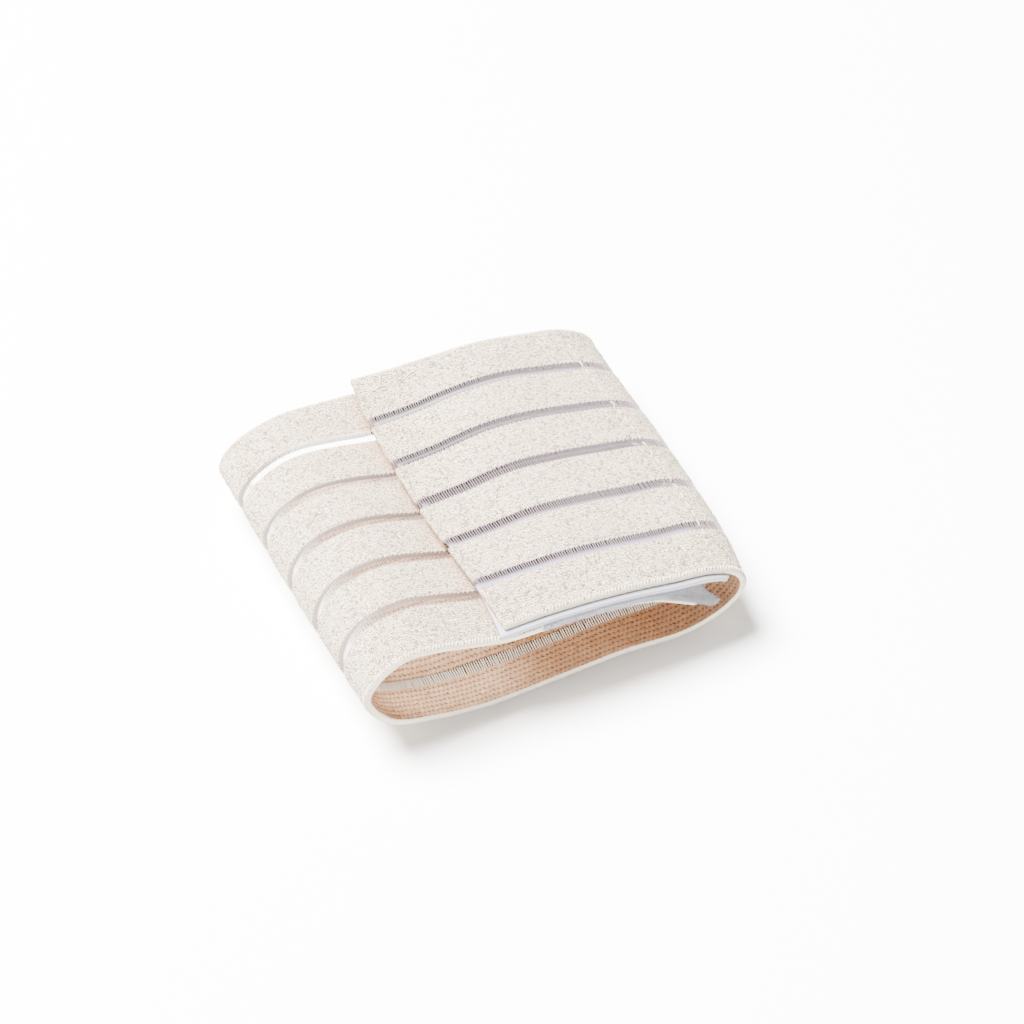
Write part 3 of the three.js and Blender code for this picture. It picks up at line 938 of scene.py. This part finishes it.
# %% Selvedge stitches
def bind_edge(name, edge, inward, pitch):
    """Stitches round one selvedge. inward is +1 where the cloth lies towards +Y."""
    starts = np.arange(0.5, STRAP_LENGTH - 0.4, pitch)
    starts = starts + rng.normal(0, 0.06, len(starts))
    reach = np.array([0.95, 0.75, 0.5, 0.25, 0.08, 0.03, 0.05, 0.1])
    lean = np.array([0.25, 0.2, 0.12, 0.03, -0.03, -0.06, -0.1, -0.15])
    height = np.array([-0.14, 0.02, 0.05, 0.0, -0.15, -0.5, -0.9, -1.15])
    fat = np.array([0.05, 0.15, 0.19, 0.18, 0.15, 0.13, 0.11, 0.07])
    s = starts[:, None] + lean + rng.normal(0, 0.03, (len(starts), 8))
    y = edge + inward * (reach * (1 + rng.normal(0, 0.08, (len(starts), 1))))
    h = height + rng.normal(0, 0.02, (len(starts), 8))
    paths = cloth_point(s, y, h)
    radii = fat * (1 + rng.normal(0, 0.07, (len(starts), 1))) * MM
    piece = add_strands(name, paths, radii, 6, edge_yarn, LOWEST)


bind_edge("selvedge_stitches_front", -HALF_WIDTH, 1, 0.78)
bind_edge("selvedge_stitches_back", HALF_WIDTH, -1, 0.78)


# %% [markdown]
# ## The ladders
# Between two ribs there is no cloth, only single clear strands, about half a millimetre apart.
# They hold the ribs side by side. On the resting run they sink to the inner face, and dark
# strands of painted shade cross behind them.

# %% Ladder filaments
def rungs(k, starts, level, radius, sides):
    """Straight strands across ladder k, at the given heights on the cloth."""
    back = rib_back(k) - RIB_WIDTH
    front = rib_back(k) - RIB_PITCH
    count = len(starts)
    stations = np.linspace(0, 1, 5)
    s = starts[:, None] + rng.normal(0, 0.02, (count, 1)) + rng.normal(0, 0.02, (count, 5))
    y = front - 0.35 + (back - front + 0.7) * stations + 0 * s
    sag = np.sin(np.pi * stations) * rng.normal(0, 0.05, (count, 1))
    paths = cloth_point(s, y, level[:, None] + rng.normal(0, 0.03, (count, 1)) + sag)
    return strand_mesh(paths, np.repeat(radius[:, None], 5, 1) * MM, sides)


def make_filaments(k):
    """The clear strands of ladder k and the dark strands of painted shade behind them, as one
    piece.
    """
    starts = np.arange(0.4, STRAP_LENGTH - 0.3, 0.54)
    inside = np.interp(starts, (62, 76, 168, 180), (0, 1, 1, 0))
    over_tan = np.interp(starts, (174, 190, 230, 245), (0, 1, 0.8, 0.3)) * min(k, 3) / 3
    points, quads, cloth_map = rungs(k, starts, -0.13 - 1.12 * inside, 0.08 + 0.035 * inside, 6)
    # dark strands behind the ladder on the resting run: painted shade under the strap
    shade_strand_starts = np.arange(80, 158, 0.3)
    shade_strand_level = np.interp(shade_strand_starts, (80, 88, 148, 156), (-0.9, -0.3, -0.3, -0.9))
    shade_strand_radius = np.full(len(shade_strand_starts), 0.13)
    low_points, low_quads, low_map = rungs(k, shade_strand_starts, shade_strand_level, shade_strand_radius, 4)
    bright = np.maximum(inside, np.interp(starts, (174, 184), (0, 1)) * (k == 0))
    each = len(points) // len(starts)
    marks = {
        "bright": np.concatenate([np.repeat(bright, each), np.zeros(len(low_points))]),
        "over_tan": np.concatenate([np.repeat(over_tan, each), np.zeros(len(low_points))]),
    }
    finish_of = np.concatenate([np.zeros(len(quads)), np.ones(len(low_quads))])
    quads = np.vstack([quads, low_quads + len(points)])
    points = np.vstack([points, low_points])
    points[:, 2] = np.maximum(points[:, 2], LOWEST)
    cloth_map = np.vstack([cloth_map, low_map])
    piece = add_piece(
        f"ladder_filaments_{k + 1}", points, quads, cloth_map, [clear_filament, painted_shade_strands],
        finish_of, marks)
    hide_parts(f"ladder_band_{k + 1}")


for k in range(RIB_COUNT - 1):
    make_filaments(k)


# %% [markdown]
# ## Loops along the ladders
# Where the strands enter a rib, its edge yarn wraps them in small slanted loops, about a
# millimetre apart.

# %% Edge loops along the ladders
def make_edge_loops(name, edge, inward):
    """Small yarn loops along one side of a ladder."""
    starts = np.arange(0.5, STRAP_LENGTH - 0.4, 1.04)
    starts = starts + rng.normal(0, 0.04, len(starts))
    reach = np.array([0.4, 0.25, 0.08, -0.03, 0.02])
    lean = np.array([0.3, 0.2, 0.05, -0.05, -0.12])
    height = np.array([-0.08, 0.03, -0.02, -0.25, -0.5])
    fat = np.array([0.05, 0.09, 0.1, 0.09, 0.05])
    s = starts[:, None] + lean
    y = edge + inward * reach + 0 * s
    paths = cloth_point(s, y, height + rng.normal(0, 0.02, s.shape))
    radii = fat * (1 + rng.normal(0, 0.08, (len(starts), 1))) * MM
    piece = add_strands(name, paths, radii, 4, edge_yarn, LOWEST)


for k in range(RIB_COUNT - 1):
    make_edge_loops(f"edge_loops_{k + 1}_back", rib_back(k) - RIB_WIDTH, 1)
    make_edge_loops(f"edge_loops_{k + 1}_front", rib_back(k) - RIB_PITCH, -1)


# %% [markdown]
# ## The closure tapes
# Both tapes are plain sheets as wide as the strap, pinked with saw teeth at their right ends.
# The hook tape shows through the flap's ladders and as a pale band at its front. The loop
# tape shows below it, with a nap that stands off its cut edges.

# %% Tapes
def tooth_depth(y):
    """How far the pinked end is cut back at each y, in millimetres."""
    phase = ((y - TAPE_FRONT + 1.7) / TOOTH_PITCH) % 1
    return TOOTH_DEPTH * np.abs(2 * phase - 1)


def make_tape(name, start, length, top, thickness, slant, finish, wave):
    """A closed tape with a pinked right end. Returns the piece and where each column ends."""
    columns = 129
    steps = 120
    y_line = np.linspace(TAPE_FRONT, TAPE_BACK, columns)
    tip_x = cloth_point(start + length, TAPE_FRONT, top - thickness)[0] / MM
    target = tip_x - tooth_depth(y_line)
    reach = np.linspace(start + length - 9, start + length + 4, 400)
    ends = []
    for y_here, x_here in zip(y_line, target):
        path = cloth_point(reach, np.full(400, y_here), np.full(400, top - thickness / 2))
        ends.append(np.interp(x_here, path[:, 0] / MM, reach))
    ends = np.array(ends)
    inwards = (y_line - TAPE_FRONT) / (TAPE_BACK - TAPE_FRONT)
    starts = start + slant * 1.5 * (1 - np.exp(-inwards / 0.17))
    share = np.linspace(0, 1, steps + 1)[:, None]
    s = starts + (ends - starts) * share
    y = y_line + 0 * s
    ripple = wave * rng.normal(0, 1, s.shape)
    upper = top + ripple
    lower = top - thickness - wave * rng.normal(0, 1, s.shape)
    middle = top - thickness / 2
    s_all = np.concatenate([s, s[:, -1:], s[:, ::-1], s[:, :1]], 1)
    y_all = np.concatenate([y, y[:, -1:] + 0.05, y[:, ::-1], y[:, :1] - 0.05], 1)
    h_all = np.concatenate([
        upper, np.full((steps + 1, 1), middle), lower[:, ::-1], np.full((steps + 1, 1), middle)], 1)
    points = cloth_point(s_all, y_all, h_all)
    last = 2 * columns
    pairs = [(c, c + 1, last - c - 1, last - c) for c in range(columns - 1)]
    quads = ribbon_quads(steps, points.shape[1], pairs)
    cloth_map = np.stack([s_all, y_all], -1)
    piece = add_piece(name, points.reshape(-1, 3), quads, cloth_map.reshape(-1, 2), [finish])
    return piece, ends


hook_tape, _ = make_tape(
    "hook_tape_sewn", -HOOK_OVERHANG, HOOK_LENGTH, -1.6, 0.9, HOOK_SLANT, hook_white, 0.012)
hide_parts("hook_tape")

PILE_START = STRAP_LENGTH + PILE_OVERHANG - PILE_LENGTH
loop_tape, loop_ends = make_tape(
    "loop_tape_sewn", PILE_START, PILE_LENGTH_SHOWN, 1.5, 1.2, 0, loop_nap, 0.05)
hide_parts("loop_tape")


# %% [markdown]
# ## The nap
# Loop tape frays where it is cut. Short soft fibres stand off its front edge and its teeth.

# %% Nap along the loop tape's edges
def make_nap(name, count):
    """Short soft fibres that stand off the loop tape's front edge and its pinked end."""
    share = rng.random(count)
    at_front = share < 0.7
    y = np.where(at_front, TAPE_FRONT, rng.uniform(TAPE_FRONT, TAPE_FRONT + 14, count))
    end_here = np.interp(y, np.linspace(TAPE_FRONT, TAPE_BACK, len(loop_ends)), loop_ends)
    s = np.where(at_front, PILE_START + (end_here - PILE_START) * rng.random(count), end_here)
    h = 1.5 - 1.2 * rng.random(count)
    length = rng.uniform(0.25, 0.75, count)
    away_y = np.where(at_front, -length, 0) + rng.normal(0, 0.12, count)
    away_s = np.where(at_front, 0, length * 0.8) + rng.normal(0, 0.15, count)
    away_h = rng.normal(0, 0.18, count)
    grow = np.array([-0.15, 0.5, 1.0])
    curl = np.array([0, 0.1, 0]) * rng.normal(0, 1, (count, 1))
    paths = cloth_point(s[:, None] + away_s[:, None] * grow + curl,
                        y[:, None] + away_y[:, None] * grow - curl,
                        h[:, None] + away_h[:, None] * grow + curl)
    radii = np.array([0.04, 0.04, 0.02]) * np.ones((count, 1)) * MM
    piece = add_strands(name, paths, radii, 4, loop_nap)


make_nap("loop_tape_nap", 3500)


# %% [markdown]
# ## The sewing
# A stitch is a short thread that comes up through one hole, lies on the knit and goes down
# through the next.

# %% Stitches
def make_stitches(name, holes, gap, radius, lift):
    """Threads from hole to hole. gap is how far each one stops short of the next hole."""
    holes = np.array(holes, float)
    stations = np.linspace(0, 1, 9)
    first = holes[:-1]
    step = holes[1:] - holes[:-1]
    length = np.linalg.norm(step, axis=1)[:, None]
    share = gap / length + (1 - 2 * gap / length) * stations
    s = first[:, :1] + step[:, :1] * share
    y = first[:, 1:] + step[:, 1:] * share
    arch = np.clip(np.sin(np.pi * stations) * 2.2, 0, 1)
    h = -0.32 + (lift + 0.32) * arch + rng.normal(0, 0.015, s.shape)
    paths = cloth_point(s, y, h)
    radii = np.full(s.shape, radius) * MM
    piece = add_strands(name, paths, radii, 6, sewing_thread)


make_stitches("sewing_back_row", back_holes, 0.3, 0.11, 0.03)
make_stitches("sewing_front_row", front_holes, 0.3, 0.1, 0.0)
make_stitches("sewing_end_row", end_holes, 0.6, 0.13, 0.08)


# %% [markdown]
# ## Loose threads
# A few loose curls of the sewing thread lie near the flap's back corner, as in the photo.

# %% Loose threads
def make_loose_threads(name, curls, radius):
    """Thread along each curl, a list of (s, y, height)."""
    paths = []
    for curl in curls:
        curl = np.array(curl, float)
        at = np.linspace(0, 1, len(curl))
        fine = np.linspace(0, 1, 14)
        s, y, h = (smooth(fine, at, curl[:, k]) for k in range(3))
        paths.append(cloth_point(s, y, h))
    paths = np.array(paths)
    radii = np.full(paths.shape[:2], radius) * MM
    piece = add_strands(name, paths, radii, 6, sewing_thread)


make_loose_threads("loose_threads", [
    [(1.7, 34.3, -0.1), (3.4, 35.2, 0.3), (5.7, 35.8, 0.35), (7.7, 35.4, 0.15)],
    [(10.9, 35.8, 0.0), (12.6, 36.5, 0.3), (14.2, 37.0, 0.2), (14.6, 37.1, 0.1)],
    [(5.1, 39.2, 0.2), (6.0, 38.4, 0.35), (6.0, 37.2, 0.3), (5.4, 36.2, 0.1)],
], 0.12)


# %% [markdown]
# ## The table
# The photo is a product shot on a white table. The floor shows the camera a brighter colour
# than it gives back to the wrap, so that it is white without flooding the wrap with light.

# %% Floor
floor_finish = bpy.data.materials.new("floor_white")
floor_finish.use_nodes = True
floor_surface = floor_finish.node_tree.nodes["Principled BSDF"]
floor_tree = floor_finish.node_tree
ray = floor_tree.nodes.new("ShaderNodeLightPath")
seen = calculate(
    floor_tree, "MAXIMUM", ray.outputs["Is Camera Ray"], ray.outputs["Is Transmission Ray"])
white = blend_colours(floor_tree, seen, (0.9, 0.9, 0.9, 1), (1.42, 1.42, 1.42, 1))
floor_tree.links.new(white, floor_surface.inputs["Base Color"])
floor_surface.inputs["Roughness"].default_value = 0.9
floor_surface.inputs["Specular IOR Level"].default_value = 0.1
floor_mesh = bpy.data.meshes.new("floor")
size = 3.0
floor_mesh.from_pydata(
    [(-size, -size, 0), (size, -size, 0), (size, size, 0), (-size, size, 0)], [], [(0, 1, 2, 3)])
floor_mesh.materials.append(floor_finish)
floor = bpy.data.objects.new("floor", floor_mesh)
bpy.context.scene.collection.objects.link(floor)
floor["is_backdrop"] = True
print("floor half width in m:", size)


# %% [markdown]
# ## The light
# A broad light stands behind and to the left, high up. A weak one at the front left and the
# white room fill the shadows. The shadow falls to the lower right, soft.

# %% Lights
def add_light(name, place, aim, size, watts):
    """A round lamp of some width at a place, aimed at a point."""
    lamp = bpy.data.lights.new(name, "AREA")
    lamp.shape = "DISK"
    lamp.size = size
    lamp.energy = watts
    light = bpy.data.objects.new(name, lamp)
    bpy.context.scene.collection.objects.link(light)
    light.location = place
    light.rotation_mode = "QUATERNION"
    light.rotation_quaternion = (Vector(aim) - Vector(place)).to_track_quat("-Z", "Y")
    print("light:", name, watts, "W")


add_light("key", (-0.45, 0.4, 1.3), (0, 0, 0), 0.8, 230.0)
add_light("left_fill", (-1.1, -0.9, 0.7), (0, 0, 0.01), 0.9, 17.0)
world = bpy.data.worlds.new("white_room")
bpy.context.scene.world = world
world.use_nodes = True
backdrop = world.node_tree.nodes["Background"]
backdrop.inputs["Color"].default_value = (1, 1, 1, 1)
backdrop.inputs["Strength"].default_value = 0.36

# %% Sizes and finish
low, high = (list(corner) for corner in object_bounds())
print("visual box in mm:", [round((b - a) / MM, 1) for a, b in zip(low, high)])
